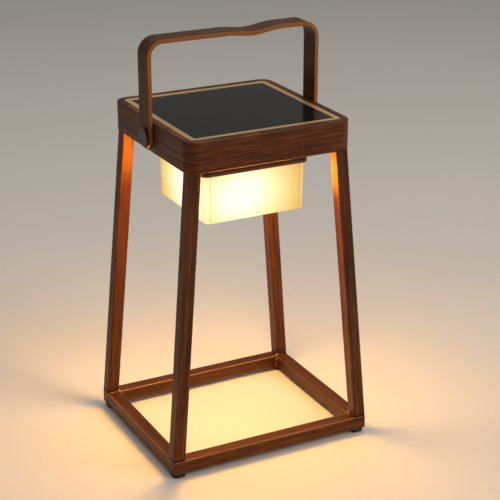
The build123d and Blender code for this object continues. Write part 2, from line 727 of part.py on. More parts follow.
bezel_width = PORT_OPENING[0] - 2 * HOLE_CLEARANCE
bezel_height = PORT_OPENING[1] - 2 * HOLE_CLEARANCE
shelf_y = (PORT_SHELF_Y + PORT_FLANGE_Y) / 2
shelf_depth = PORT_FLANGE_Y - PORT_SHELF_Y
with BuildPart() as port_bezel:
    port_slab(bezel_width, bezel_height, PORT_ROUND - HOLE_CLEARANCE, head_inner, bezel_face)
    port_slab(*PORT_FLANGE, PORT_ROUND, PORT_FLANGE_Y, head_inner)
    shelf_bottom = port_board_top - PORT_BOARD_T - PORT_SHELF_T
    block((PORT_X, shelf_y, shelf_bottom), (PORT_SHELF_W, shelf_depth, PORT_SHELF_T))
    port_slab(
        2 * (SOCKET_HALF_X + HOLE_CLEARANCE),
        2 * (SOCKET_HALF_Z + HOLE_CLEARANCE),
        SOCKET_ROUND + HOLE_CLEARANCE,
        PORT_FLANGE_Y - CUT,
        HEAD_HALF,
        Mode.SUBTRACT,
    )
write(port_bezel.part, "port_bezel")

with BuildPart() as charge_socket:
    port_slab(2 * SOCKET_HALF_X, 2 * SOCKET_HALF_Z, SOCKET_ROUND, socket_back, bezel_face)
    port_slab(
        2 * (SOCKET_HALF_X - SOCKET_WALL),
        2 * (SOCKET_HALF_Z - SOCKET_WALL),
        SOCKET_ROUND - SOCKET_WALL,
        socket_back + CUT,
        bezel_face + CUT,
        Mode.SUBTRACT,
    )
    block((PORT_X, socket_back + 3, PORT_Z - TONGUE[2] / 2), TONGUE)
write(charge_socket.part, "charge_socket")

with BuildPart() as charge_board:
    charge_board_bottom = port_board_top - PORT_BOARD_T
    block((PORT_X, shelf_y, charge_board_bottom), (PORT_SHELF_W, shelf_depth, PORT_BOARD_T))
write(charge_board.part, "charge_board")

write_lead(
    (
        (PORT_X, socket_back, PORT_Z),
        (PORT_X, 60, PORT_Z),
        (PORT_X - 6, 52, PORT_Z),
        (PORT_X - 6, BOARD_Y + 12, PORT_Z),
        (CONNECTORS_X[0], BOARD_Y, PORT_Z),
        (CONNECTORS_X[0], BOARD_Y, connector_top),
    ),
    "charge_lead",
)

cover_front = bezel_face + COVER_LIFT
cover_width = PORT_OPENING[0] - 2 * COVER_GAP
cover_height = PORT_OPENING[1] - 2 * COVER_GAP
with BuildPart() as port_cover:
    port_slab(cover_width, cover_height, COVER_ROUND, cover_front, cover_front + COVER_T)
write(port_cover.part, "port_cover")

# -------------------------------------------------------------------- handle


def strap_face(half_width, bend, drop):
    """One face of the formed strap, from the left arm's end to the right arm's end."""
    left_z = BAR_LEFT_Z - drop
    right_z = BAR_RIGHT_Z - drop
    Line((-half_width, arm_end), (-half_width, left_z - bend))
    RadiusArc((-half_width, left_z - bend), (bend - half_width, left_z), bend)
    Line((bend - half_width, left_z), (DIP_START_X, left_z))
    Spline(
        (DIP_START_X, left_z),
        (DIP_X, BAR_DIP_Z - drop),
        (DIP_END_X, right_z),
        tangents=((1, 0), (1, 0)),
    )
    Line((DIP_END_X, right_z), (half_width - bend, right_z))
    RadiusArc((half_width - bend, right_z), (half_width, right_z - bend), bend)
    Line((half_width, right_z - bend), (half_width, arm_end))


with BuildPart() as handle_strap:
    with BuildSketch(Plane.XZ):
        with BuildLine():
            strap_face(strap_outer, STRAP_BEND, 0)
            strap_face(STRAP_INNER, STRAP_BEND - STRAP_T, STRAP_T)
            for side in (-1, 1):
                Line((side * STRAP_INNER, arm_end), (side * strap_outer, arm_end))
        make_face()
    extrude(amount=STRAP_W / 2, both=True)
    fillet(handle_strap.faces().filter_by(Axis.Y).edges(), STRAP_EDGE)
    with BuildSketch(Plane.YZ.offset(-strap_outer - CUT)):
        with Locations((0, PIVOT_Z - STRAP_W / 2)):
            Rectangle(STRAP_W + 2 * CUT, STRAP_W)
        with Locations((0, PIVOT_Z)):
            Circle(STRAP_W / 2, mode=Mode.SUBTRACT)
    extrude(amount=2 * (strap_outer + CUT), mode=Mode.SUBTRACT)
    across(-strap_outer - CUT, strap_outer + CUT, BOLT_R + BOLT_CLEARANCE, Mode.SUBTRACT)
write(handle_strap.part, "handle_strap")

head_face = strap_outer + CAP_GAP
for name, side in (("left", -1), ("right", 1)):
    with BuildPart() as pivot_bolt:
        across(side * (head_inner - NUT_T - 1), side * HEAD_HALF, BOLT_THREAD_R)
        across(side * HEAD_HALF, side * head_face, BOLT_R)
        across(side * head_face, side * (head_face + BOLT_HEAD_T), BOLT_HEAD_R)
    write(pivot_bolt.part, f"pivot_bolt_{name}")

    with BuildPart() as pivot_cap:
        across(side * head_face, side * (head_face + CAP_T), CAP_R)
        fillet(pivot_cap.edges().sort_by(Axis.X)[0 if side < 0 else -1], CAP_EDGE)
        bore_start = side * (head_face - CUT)
        bore_end = side * (head_face + BOLT_HEAD_T)
        across(bore_start, bore_end, BOLT_HEAD_R + BOLT_CLEARANCE, Mode.SUBTRACT)
    write(pivot_cap.part, f"pivot_cap_{name}")

washer_face = HEAD_HALF + WASHER_T
with BuildPart() as pivot_washers:
    for side in (-1, 1):
        across(side * HEAD_HALF, side * washer_face, WASHER_R)
        bore_start = side * (HEAD_HALF - CUT)
        bore_end = side * (washer_face + CUT)
        across(bore_start, bore_end, BOLT_R + BOLT_CLEARANCE, Mode.SUBTRACT)
write(pivot_washers.part, "pivot_washers")

nut_face = head_inner - NUT_T
with BuildPart() as pivot_nuts:
    for side in (-1, 1):
        with BuildSketch(Plane.YZ.offset(side * nut_face)):
            with Locations((0, PIVOT_Z)):
                RectangleRounded(*NUT_SIZE, 2)
        extrude(amount=side * NUT_T)
        bore_start = side * (nut_face - CUT)
        bore_end = side * (head_inner + CUT)
        across(bore_start, bore_end, BOLT_THREAD_R + BOLT_CLEARANCE, Mode.SUBTRACT)
write(pivot_nuts.part, "pivot_nuts")
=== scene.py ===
"""Looks of the solar lantern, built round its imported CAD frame. Lengths are in metres."""

import json
import math

import bmesh
import bpy
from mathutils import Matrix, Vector, noise


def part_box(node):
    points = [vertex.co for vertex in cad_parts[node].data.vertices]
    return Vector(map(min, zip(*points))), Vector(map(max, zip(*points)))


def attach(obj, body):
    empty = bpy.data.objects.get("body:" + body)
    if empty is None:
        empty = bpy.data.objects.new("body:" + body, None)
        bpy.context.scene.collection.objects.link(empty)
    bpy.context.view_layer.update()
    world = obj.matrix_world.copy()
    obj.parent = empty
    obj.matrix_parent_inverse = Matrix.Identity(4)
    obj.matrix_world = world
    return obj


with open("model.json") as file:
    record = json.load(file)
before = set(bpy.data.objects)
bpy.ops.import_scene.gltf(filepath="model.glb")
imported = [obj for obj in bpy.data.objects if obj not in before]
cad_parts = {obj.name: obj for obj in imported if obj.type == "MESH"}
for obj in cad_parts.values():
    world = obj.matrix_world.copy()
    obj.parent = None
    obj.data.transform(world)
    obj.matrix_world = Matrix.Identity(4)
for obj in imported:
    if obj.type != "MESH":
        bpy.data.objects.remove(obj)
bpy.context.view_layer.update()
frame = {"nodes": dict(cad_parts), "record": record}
NODES = frame["nodes"]
CORNERS = {
    "front_left": (-1, -1),
    "front_right": (1, -1),
    "back_left": (-1, 1),
    "back_right": (1, 1),
}

# ------------------------------------------------------ sizes from the frame

rail_low, rail_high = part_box("base_rail_front")
leg_low, leg_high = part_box("leg_front_left")
cap_low, cap_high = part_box("pivot_cap_left")
lamp_low, lamp_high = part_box("diffuser")

RAIL_BOTTOM = rail_low.z
RAIL_TOP = rail_high.z
RAIL = RAIL_TOP - RAIL_BOTTOM
BASE_HALF_X = rail_high.x
BASE_HALF_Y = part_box("base_rail_right")[1].y
LEG = 0.014
LEG_HEIGHT = leg_high.z - leg_low.z
LEG_SLOPE_X = (leg_high.x - leg_low.x - LEG) / LEG_HEIGHT
LEG_SLOPE_Y = (leg_high.y - leg_low.y - LEG) / LEG_HEIGHT
PIVOT_Z = (cap_low.z + cap_high.z) / 2
LAMP_HALF = lamp_high.x

# -------------------------------------------------------------------- camera

CAMERA_AZIMUTH = math.radians(-27.437)
CAMERA_ELEVATION = math.radians(21.434)
CAMERA_DISTANCE = 1.70565
CAMERA_TARGET = Vector((0.05381, 0.05762, 0.180))
CAMERA_LENS = 104.70
SENSOR_WIDTH = 36.0
CLIP_START = 0.05


def add_camera():
    """The camera at the viewing angle of the lantern's front left."""
    backwards = Vector((
        math.sin(CAMERA_AZIMUTH) * math.cos(CAMERA_ELEVATION),
        -math.cos(CAMERA_AZIMUTH) * math.cos(CAMERA_ELEVATION),
        math.sin(CAMERA_ELEVATION),
    ))
    data = bpy.data.cameras.new("camera")
    data.lens = CAMERA_LENS
    data.sensor_width = SENSOR_WIDTH
    data.clip_start = CLIP_START
    camera = bpy.data.objects.new("camera", data)
    camera.location = CAMERA_TARGET + CAMERA_DISTANCE * backwards
    camera.rotation_euler = (-backwards).to_track_quat("-Z", "Y").to_euler()
    bpy.context.scene.collection.objects.link(camera)
    return camera


bpy.context.scene.camera = add_camera()
bpy.context.scene.view_settings.view_transform = "Standard"

# -------------------------------------------------------------- node helpers


def is_socket(value):
    return isinstance(value, bpy.types.NodeSocket)


def opaque(color):
    return (*color, 1.0)


class Look:
    """A node material under construction, with its Principled shader at hand."""

    def __init__(self, name, **sockets):
        self.material = bpy.data.materials.new(name)
        self.material.use_nodes = True
        self.tree = self.material.node_tree
        self.tree.nodes.clear()
        self.shader = self.add("ShaderNodeBsdfPrincipled")
        output = self.add("ShaderNodeOutputMaterial")
        self.join(self.shader.outputs["BSDF"], output.inputs["Surface"])
        for socket, value in sockets.items():
            self.shader.inputs[socket.replace("_", " ")].default_value = value

    def add(self, kind):
        return self.tree.nodes.new(kind)

    def join(self, source, target):
        self.tree.links.new(source, target)

    def feed(self, target, value):
        """Links a socket, or sets the target's own value."""
        if is_socket(value):
            self.join(value, target)
        else:
            target.default_value = value

    def position(self):
        return self.add("ShaderNodeTexCoord").outputs["Object"]

    def normal(self):
        return self.add("ShaderNodeTexCoord").outputs["Normal"]

    def vector_math(self, operation, vector, other, output):
        node = self.add("ShaderNodeVectorMath")
        node.operation = operation
        self.join(vector, node.inputs[0])
        node.inputs[1].default_value = other
        return node.outputs[output]

    def stretched(self, vector, scale):
        return self.vector_math("MULTIPLY", vector, scale, "Vector")

    def distance(self, vector, point):
        return self.vector_math("DISTANCE", vector, point, "Value")

    def split(self, vector):
        node = self.add("ShaderNodeSeparateXYZ")
        self.join(vector, node.inputs[0])
        return node.outputs[0], node.outputs[1], node.outputs[2]

    def gather(self, x, y, z):
        node = self.add("ShaderNodeCombineXYZ")
        for socket, value in zip(node.inputs, (x, y, z)):
            self.feed(socket, value)
        return node.outputs[0]

    def math(self, operation, a, b=0.0):
        node = self.add("ShaderNodeMath")
        node.operation = operation
        self.feed(node.inputs[0], a)
        self.feed(node.inputs[1], b)
        return node.outputs[0]

    def plus(self, *values):
        total = values[0]
        for value in values[1:]:
            total = self.math("ADD", total, value)
        return total

    def minus(self, a, b):
        return self.math("SUBTRACT", a, b)

    def times(self, *values):
        product = values[0]
        for value in values[1:]:
            product = self.math("MULTIPLY", product, value)
        return product

    def size_of(self, value):
        return self.math("ABSOLUTE", value)

    def away_from(self, value, middle):
        """How far a value is from a middle value, on either side."""
        return self.size_of(self.minus(value, middle))

    def noise(self, vector, scale, detail=3.0, roughness=0.55):
        node = self.add("ShaderNodeTexNoise")
        self.join(vector, node.inputs["Vector"])
        node.inputs["Scale"].default_value = scale
        node.inputs["Detail"].default_value = detail
        node.inputs["Roughness"].default_value = roughness
        return node.outputs[0]

    def ramp(self, factor, stops):
        node = self.add("ShaderNodeValToRGB")
        self.join(factor, node.inputs[0])
        elements = node.color_ramp.elements
        while len(elements) < len(stops):
            elements.new(0.5)
        for element, (place, color) in zip(elements, stops):
            element.position = place
            element.color = opaque(color)
        return node.outputs[0]

    def span(self, value, low, high, to_low, to_high):
        """Maps low..high to to_low..to_high and holds the ends."""
        node = self.add("ShaderNodeMapRange")
        self.join(value, node.inputs["Value"])
        node.inputs["From Min"].default_value = low
        node.inputs["From Max"].default_value = high
        node.inputs["To Min"].default_value = to_low
        node.inputs["To Max"].default_value = to_high
        return node.outputs[0]

    def mix(self, factor, a, b):
        node = self.add("ShaderNodeMix")
        node.data_type = "RGBA"
        self.feed(node.inputs[0], factor)
        for socket, value in ((node.inputs[6], a), (node.inputs[7], b)):
            self.feed(socket, value if is_socket(value) else opaque(value))
        return node.outputs[2]

    def color(self, value):
        self.feed(self.shader.inputs["Base Color"], value if is_socket(value) else opaque(value))

    def rough(self, value):
        self.feed(self.shader.inputs["Roughness"], value)

    def glow(self, color, strength):
        self.feed(self.shader.inputs["Emission Color"], color)
        self.feed(self.shader.inputs["Emission Strength"], strength)

    def bump(self, height, depth, strength=1.0):
        """Adds a bump on top of those already there."""
        node = self.add("ShaderNodeBump")
        node.inputs["Strength"].default_value = strength
        node.inputs["Distance"].default_value = depth
        self.join(height, node.inputs["Height"])
        normal = self.shader.inputs["Normal"]
        if normal.is_linked:
            self.join(normal.links[0].from_socket, node.inputs["Normal"])
        self.join(node.outputs[0], normal)


def dress(node, material):
    """Gives a CAD node one material in all its slots."""
    slots = NODES[node].data.materials
    if not slots:
        slots.append(material)
    for index in range(len(slots)):
        slots[index] = material


# ----------------------------------------------------------- timber coatings

TIMBER_DARK = Vector((0.032, 0.0070, 0.0012))
TIMBER_MIDDLE = Vector((0.092, 0.0240, 0.0038))
TIMBER_LIGHT = Vector((0.185, 0.0570, 0.0100))
TIMBER_PORE = Vector((0.030, 0.0060, 0.0013))
# Painted highlight colour for the rails' long edges.
RAIL_EDGE_HIGHLIGHT = (0.42, 0.185, 0.055)
# Painted highlight colour for the strap's narrow edges.
STRAP_EDGE_HIGHLIGHT = (0.42, 0.145, 0.028)
JOINT_LINE = (0.004, 0.0015, 0.0008)
MITRE_LINE = (0.012, 0.004, 0.002)

# Streaks per metre along the grain and across it, twice.
FINE_GRAIN = (24.0, 900.0, 900.0)
VEINS = (5.0, 230.0, 230.0)
PORES = (120.0, 1500.0, 1500.0)
FINE_SHARE = 0.60
VEIN_SHARE = 0.28
BROAD_SHARE = 0.12
GRAIN_WANDER = 0.0022
GRAIN_DEPTH = 0.00006
PORE_DEPTH = 0.00004
FOOT_LINE = 0.0022
FOOT_LINE_FADE = 0.0003
SEAM_WIDTH = 0.00022
SEAM_FADE = 2.2 * SEAM_WIDTH
SEAM_DEPTH = 0.0003
ARRIS_WIDTH = 0.0004
ARRIS_FADE = 0.0011


def foot_line_mask(look, place):
    """Nearly 1 on a thin band at a leg's foot, 0 above it."""
    _, _, height = look.split(place)
    top = RAIL_TOP + FOOT_LINE
    return look.span(height, top - FOOT_LINE_FADE, top, 0.97, 0.0)


def rail_arris_mask(look, across, half_base, z):
    """1 on a rail's long edges, 0 away from them."""
    from_middle = look.away_from(look.size_of(across), half_base - RAIL / 2)
    from_side = look.away_from(from_middle, RAIL / 2)
    from_level = look.away_from(z, (RAIL_BOTTOM + RAIL_TOP) / 2)
    from_top = look.away_from(from_level, RAIL / 2)
    return look.span(look.math("MAXIMUM", from_side, from_top), ARRIS_WIDTH, ARRIS_FADE, 1.0, 0.0)


def rail_marks(look, place, rail, vein, color):
    """Painted highlight along the long edges, streaked by the grain, and the mitre's joint line."""
    x, y, z = look.split(place)
    if rail == "x":
        arris = rail_arris_mask(look, y, BASE_HALF_Y, z)
    else:
        arris = rail_arris_mask(look, x, BASE_HALF_X, z)
    # Painted highlight: the rails' long edges are lightened, streaked by the veins.
    arris_highlight = look.times(arris, look.span(vein, 0.35, 0.60, 0.30, 0.80))
    color = look.mix(arris_highlight, color, RAIL_EDGE_HIGHLIGHT)
    diagonal = look.minus(look.size_of(x), look.size_of(y))
    gap = look.away_from(diagonal, BASE_HALF_X - BASE_HALF_Y)
    color = look.mix(look.span(gap, SEAM_WIDTH, SEAM_FADE, 0.85, 0.0), color, MITRE_LINE)
    look.bump(look.span(gap, 0.0, SEAM_FADE, 0.0, 1.0), SEAM_DEPTH)
    return color


def timber_coat(name, coordinates, rail=None, foot_line=False, tint=1.0, edge_highlight=0.0):
    """Wood-grain coating on aluminium. coordinates gives the way along and two ways across, in metres."""
    look = Look(
        name, Metallic=0.30, Specular_IOR_Level=0.24, Coat_Weight=0.06, Coat_Roughness=0.30, IOR=1.5
    )
    place = look.position()
    along, side_a, side_b = coordinates(look, place)
    wander = look.noise(place, scale=22.0, detail=2.0)
    side_a = look.plus(side_a, look.times(look.minus(wander, 0.5), GRAIN_WANDER))
    lengthwise = look.gather(along, side_a, side_b)
    fine = look.noise(look.stretched(lengthwise, FINE_GRAIN), scale=1.0, detail=4.0, roughness=0.62)
    vein = look.noise(look.stretched(lengthwise, VEINS), scale=1.0, detail=3.0, roughness=0.5)
    pores = look.noise(look.stretched(lengthwise, PORES), scale=1.0, detail=1.0, roughness=0.4)
    broad = look.noise(place, scale=7.0, detail=2.0)
    pattern = look.plus(
        look.times(fine, FINE_SHARE), look.times(vein, VEIN_SHARE), look.times(broad, BROAD_SHARE)
    )
    color = look.ramp(pattern, (
        (0.38, tint * TIMBER_DARK), (0.50, tint * TIMBER_MIDDLE), (0.64, tint * TIMBER_LIGHT)
    ))
    pore_mask = look.span(pores, 0.58, 0.70, 0.0, 0.45)
    color = look.mix(pore_mask, color, tint * TIMBER_PORE)
    rough = look.span(pattern, 0.35, 0.65, 0.50, 0.36)
    if foot_line:
        line = foot_line_mask(look, place)
        color = look.mix(line, color, JOINT_LINE)
        rough = look.math("MAXIMUM", rough, line)
    if rail:
        color = rail_marks(look, place, rail, vein, color)
    # Painted highlight: faces that face along y, the strap's narrow edges, are lightened towards bright
    # orange.
    if edge_highlight:
        _, facing, _ = look.split(look.normal())
        edge = look.span(look.size_of(facing), 0.60, 0.90, 0.0, edge_highlight)
        color = look.mix(edge, color, STRAP_EDGE_HIGHLIGHT)
    look.color(color)
    look.rough(rough)
    look.bump(fine, GRAIN_DEPTH, 0.7)
    look.bump(pore_mask, -PORE_DEPTH, 0.6)
    return look.material


def leg_grain(side_x, side_y):
    """Grain that follows a leaning leg."""
    def coordinates(look, place):
        x, y, z = look.split(place)
        across_x = look.plus(x, look.times(z, side_x * LEG_SLOPE_X))
        across_y = look.plus(y, look.times(z, side_y * LEG_SLOPE_Y))
        return z, across_x, across_y
    return coordinates


def rail_x_grain(look, place):
    x, y, z = look.split(place)
    return x, y, z


def rail_y_grain(look, place):
    x, y, z = look.split(place)
    return y, x, z


ROUND_A_CORNER = 0.02


def band_grain(look, place):
    """Level grain that runs round the head's corners."""
    x, y, z = look.split(place)
    return look.minus(x, y), z, look.times(look.plus(x, y), ROUND_A_CORNER)


def strap_grain(look, place):
    """Grain that runs up the strap's sides and along its bar."""
    x, y, z = look.split(place)
    return look.plus(x, z), y, look.times(look.minus(x, z), ROUND_A_CORNER)


def dress_timber():
    for corner, (side_x, side_y) in CORNERS.items():
        grain = leg_grain(side_x, side_y)
        dress(f"leg_{corner}", timber_coat(f"timber_leg_{corner}", grain, foot_line=True))
    rails_x = timber_coat("timber_rails_front_back", rail_x_grain, rail="x")
    rails_y = timber_coat("timber_rails_left_right", rail_y_grain, rail="y")
    dress("base_rail_front", rails_x)
    dress("base_rail_back", rails_x)
    dress("base_rail_left", rails_y)
    dress("base_rail_right", rails_y)
    dress("head_frame", timber_coat("timber_head", band_grain, tint=1.25))
    dress("handle_strap", timber_coat("timber_strap", strap_grain, tint=0.95, edge_highlight=0.8))


dress_timber()

# --------------------------------------------------------------- solar panel

CELL_STEP_X = 0.039
CELL_STEP_Y = 0.026
FINGER_STEP = 0.0013
BUS_STEP = 0.013
ON_THE_MIDDLE = 0.5


def grid_line(look, coordinate, step, offset, low, high):
    """1 on thin lines a step apart, 0 between them."""
    phase = look.math("FRACT", look.plus(look.math("DIVIDE", coordinate, step), offset))
    return look.span(look.away_from(phase, 0.5), low, high, 0.0, 1.0)


def glass_over_cells():
    """Dark glass with the cells, their fingers and bus bars faintly under it."""
    look = Look("panel_glass", IOR=1.45, Specular_IOR_Level=0.13)
    place = look.position()
    x, y, _ = look.split(place)
    gap_x = grid_line(look, x, CELL_STEP_X, ON_THE_MIDDLE, 0.484, 0.492)
    gap_y = grid_line(look, y, CELL_STEP_Y, ON_THE_MIDDLE, 0.478, 0.488)
    fingers = grid_line(look, y, FINGER_STEP, 0.0, 0.40, 0.47)
    bus = grid_line(look, x, BUS_STEP, ON_THE_MIDDLE, 0.475, 0.487)
    mottle = look.noise(look.stretched(place, (30.0, 260.0, 1.0)), scale=1.0)
    color = look.mix(mottle, (0.0050, 0.0050, 0.0055), (0.0105, 0.0100, 0.0095))
    color = look.mix(look.times(fingers, 0.35), color, (0.018, 0.018, 0.017))
    color = look.mix(look.times(bus, 0.55), color, (0.028, 0.027, 0.024))
    gaps = look.math("MAXIMUM", gap_x, gap_y)
    look.color(look.mix(look.times(gaps, 0.8), color, (0.0022, 0.0022, 0.0024)))
    look.rough(look.span(look.noise(place, scale=320.0), 0.35, 0.7, 0.155, 0.185))
    return look.material


def silicon():
    look = Look("solar_cell", Metallic=0.35, Roughness=0.3)
    speckle = look.noise(look.position(), scale=90.0)
    look.color(look.mix(speckle, (0.006, 0.007, 0.012), (0.013, 0.014, 0.022)))
    return look.material


def backsheet():
    look = Look("panel_black", Roughness=0.55)
    speckle = look.noise(look.position(), scale=300.0)
    look.color(look.mix(speckle, (0.004, 0.004, 0.004), (0.009, 0.009, 0.009)))
    return look.material


def brushed_champagne():
    """Anodised trim, brushed along each side of the ring."""
    look = Look("champagne_trim", Metallic=0.65, Anisotropic=0.35)
    x, y, z = look.split(look.position())
    far = look.math("MAXIMUM", look.size_of(x), look.size_of(y))
    near = look.math("MINIMUM", look.size_of(x), look.size_of(y))
    lines = look.gather(look.times(far, 5200.0), look.times(near, 40.0), look.times(z, 2500.0))
    brush = look.noise(lines, scale=1.0)
    look.color(look.ramp(brush, (
        (0.30, (0.66, 0.40, 0.15)), (0.52, (0.84, 0.54, 0.23)), (0.75, (0.95, 0.68, 0.34))
    )))
    look.rough(look.span(brush, 0.3, 0.7, 0.40, 0.26))
    look.bump(brush, 0.00003, 0.6)
    return look.material


dress("panel_glass", glass_over_cells())
dress("solar_cells", silicon())
dress("panel_backsheet", backsheet())
dress("trim_ring", brushed_champagne())

# ------------------------------------------------------------------ diffuser

GLOW_CENTER = Vector((-0.017, -0.016, 0.296))
GLOW_STRETCH = Vector((0.86, 0.86, 1.10))
GLOW_HUES = (
    (0.0, (1.0, 0.98, 0.78)),
    (0.25, (1.0, 0.90, 0.46)),
    (0.60, (1.0, 0.70, 0.22)),
    (1.0, (1.0, 0.50, 0.08)),
)
CORNER_START = 0.0056
CORNER_END = 0.0044
CREASE_INSET = 0.0063


def lit_diffuser():
    """Frosted plastic, lit from inside: hottest near the LEDs, golden at the edges."""
    look = Look(
        "frosted_diffuser", Roughness=0.42, IOR=1.49, Subsurface_Weight=0.25, Subsurface_Scale=0.01
    )
    place = look.position()
    reach = look.distance(look.stretched(place, GLOW_STRETCH), GLOW_CENTER * GLOW_STRETCH)
    cloud = look.noise(place, scale=34.0, detail=2.0)
    reach = look.plus(reach, look.times(look.minus(cloud, 0.5), 0.004))
    hue = look.ramp(look.span(reach, 0.040, 0.086, 0.0, 1.0), GLOW_HUES)
    x, y, _ = look.split(place)
    inward = look.math("MINIMUM", look.size_of(x), look.size_of(y))
    corner = look.span(inward, LAMP_HALF - CORNER_START, LAMP_HALF - CORNER_END, 1.0, 1.15)
    from_crease = look.away_from(inward, LAMP_HALF - CREASE_INSET)
    crease = look.span(from_crease, 0.0002, 0.0012, 0.80, 1.0)
    frost = look.noise(place, scale=900.0)
    grain = look.span(frost, 0.3, 0.7, 0.97, 1.03)
    power = look.span(reach, 0.036, 0.072, 1.15, 0.72)
    look.color((0.26, 0.16, 0.035))
    look.glow(hue, look.times(power, look.times(corner, crease), grain))
    look.bump(frost, 0.00003, 0.5)
    return look.material


dress("diffuser", lit_diffuser())

# -------------------------------------------------- plastics, rubber, metals


def moulded(name, low, high, rough, grain, depth):
    """Moulded plastic or rubber with a fine surface texture."""
    look = Look(name)
    place = look.position()
    speckle = look.noise(place, scale=grain, detail=4.0)
    look.color(look.mix(look.noise(place, scale=28.0), low, high))
    look.rough(look.span(speckle, 0.3, 0.7, rough - 0.06, rough + 0.08))
    look.bump(speckle, depth, 0.8)
    return look.material


def plain_metal(name, low, high, rough, grain):
    """Metal with fine marks all over."""
    look = Look(name, Metallic=0.9)
    marks = look.noise(look.stretched(look.position(), grain), scale=1.0, detail=4.0)
    look.color(look.mix(marks, low, high))
    look.rough(look.span(marks, 0.3, 0.7, rough - 0.08, rough + 0.10))
    look.bump(marks, 0.00003, 0.5)
    return look.material


def turned_bronze(name):
    """Satin brown cap with fine turning marks round the pivot's axis."""
    look = Look(name, Metallic=0.25, Coat_Weight=0.25, Coat_Roughness=0.25)
    place = look.position()
    _, y, z = look.split(place)
    across = look.math("POWER", y, 2.0)
    up = look.math("POWER", look.minus(z, PIVOT_Z), 2.0)
    radius = look.math("SQRT", look.plus(across, up))
    turning = look.noise(look.gather(look.times(radius, 2600.0), 0.0, 0.0), scale=1.0, detail=2.0)
    mottle = look.noise(place, scale=60.0)
    look.color(look.mix(look.times(turning, mottle), (0.024, 0.0075, 0.0028), (0.075, 0.026, 0.009)))
    look.rough(look.span(turning, 0.3, 0.7, 0.30, 0.44))
    look.bump(turning, 0.00004, 0.6)
    return look.material


# Each slot: darker and lighter colour, roughness, grain per metre, depth of the texture.
MOULDED = {
    "dark_plastic": ((0.110, 0.0400, 0.0100), (0.160, 0.0600, 0.0160), 0.46, 1400.0, 0.00004),
    "black_plastic": ((0.010, 0.010, 0.011), (0.020, 0.020, 0.021), 0.45, 1200.0, 0.00004),
    "washer_nylon": ((0.016, 0.012, 0.009), (0.026, 0.019, 0.014), 0.5, 1200.0, 0.00003),
    "seal_rubber": ((0.010, 0.010, 0.010), (0.016, 0.016, 0.016), 0.65, 900.0, 0.00004),
    "cover_rubber": ((0.016, 0.010, 0.007), (0.028, 0.018, 0.013), 0.62, 1100.0, 0.00005),
    "foot_rubber": ((0.008, 0.007, 0.006), (0.020, 0.017, 0.014), 0.74, 700.0, 0.00008),
    "cell_sleeve": ((0.05, 0.16, 0.34), (0.07, 0.22, 0.42), 0.3, 500.0, 0.00002),
    "circuit_board": ((0.008, 0.085, 0.035), (0.014, 0.13, 0.055), 0.35, 800.0, 0.00002),
    "led_board_white": ((0.74, 0.74, 0.72), (0.84, 0.84, 0.82), 0.4, 800.0, 0.00002),
    "led_phosphor": ((0.85, 0.62, 0.12), (0.92, 0.70, 0.18), 0.25, 600.0, 0.00001),
    "lead_sleeve": ((0.32, 0.020, 0.014), (0.42, 0.030, 0.020), 0.4, 900.0, 0.00003),
}
# Each slot: darker and lighter colour, roughness, marks per metre along x, y and z.
METALS = {
    "dark_steel": ((0.07, 0.062, 0.055), (0.15, 0.135, 0.12), 0.36, (900.0, 900.0, 900.0)),
    "spring_steel": ((0.48, 0.47, 0.45), (0.66, 0.65, 0.62), 0.3, (1200.0, 90.0, 1200.0)),
    "cast_zinc": ((0.38, 0.38, 0.39), (0.54, 0.54, 0.55), 0.5, (500.0, 500.0, 500.0)),
}


def dress_small_parts():
    finishes = {"bronze_cap": turned_bronze("bronze_cap")}
    for slot, values in MOULDED.items():
        finishes[slot] = moulded(slot, *values)
    for slot, values in METALS.items():
        finishes[slot] = plain_metal(slot, *values)
    for row in frame["record"]["subparts"]:
        if row["material_slot"] in finishes:
            dress(row["node"], finishes[row["material_slot"]])


dress_small_parts()

# --------------------------------------------------------------- weld beads

BEAD = 0.0009
BEAD_STEPS = 14
BEAD_START = 0.0012
BEAD_INSET = 0.0002
BEAD_WOBBLE = 0.00012
FOOT_STEPS = 12
FOOT_RISE = 0.0001
FOOT_END_INSET = 0.0012
FOOT_RADIUS = 0.00022
FOOT_LUMP = 0.00006
FOOT_CORNER = 0.00250
CORNER_SPREAD = 3.0
TUBE_SIDES = 10


def tube(builder, path, radii):
    """A closed tube along a path, with a radius at each point."""
    rings = []
    last = len(path) - 1
    for index, point in enumerate(path):
        direction = path[min(index + 1, last)] - path[max(index - 1, 0)]
        turn = direction.normalized().to_track_quat("Z", "Y")
        ring = []
        for step in range(TUBE_SIDES):
            angle = math.tau * step / TUBE_SIDES
            offset = turn @ Vector((math.cos(angle), math.sin(angle), 0.0)) * radii[index]
            ring.append(builder.verts.new(point + offset))
        rings.append(ring)
    for ring, following in zip(rings, rings[1:]):
        for step in range(TUBE_SIDES):
            after = (step + 1) % TUBE_SIDES
            builder.faces.new((ring[step], ring[after], following[after], following[step]))
    builder.faces.new(list(reversed(rings[0])))
    builder.faces.new(rings[-1])


def upright_bead(builder, side_x, side_y):
    """The bead up the inner corner of two rails. It thickens towards the leg."""
    inner_x = side_x * (BASE_HALF_X - RAIL)
    inner_y = side_y * (BASE_HALF_Y - RAIL)
    path = []
    radii = []
    for index in range(BEAD_STEPS + 1):
        along = index / BEAD_STEPS
        height = RAIL_BOTTOM + BEAD_START + along * (RAIL - BEAD_START)
        wobble = BEAD_WOBBLE * noise.noise(Vector((inner_x * 90, inner_y * 90, height * 900)))
        x = inner_x - side_x * (BEAD_INSET + wobble)
        y = inner_y - side_y * (BEAD_INSET - wobble)
        path.append(Vector((x, y, height)))
        ripple = 1.0 + 0.18 * math.sin(9.0 * along * math.pi)
        start = 0.45 if index == 0 else 1.0
        radii.append(BEAD * (1.7 + 0.9 * along) * ripple * start)
    tube(builder, path, radii)


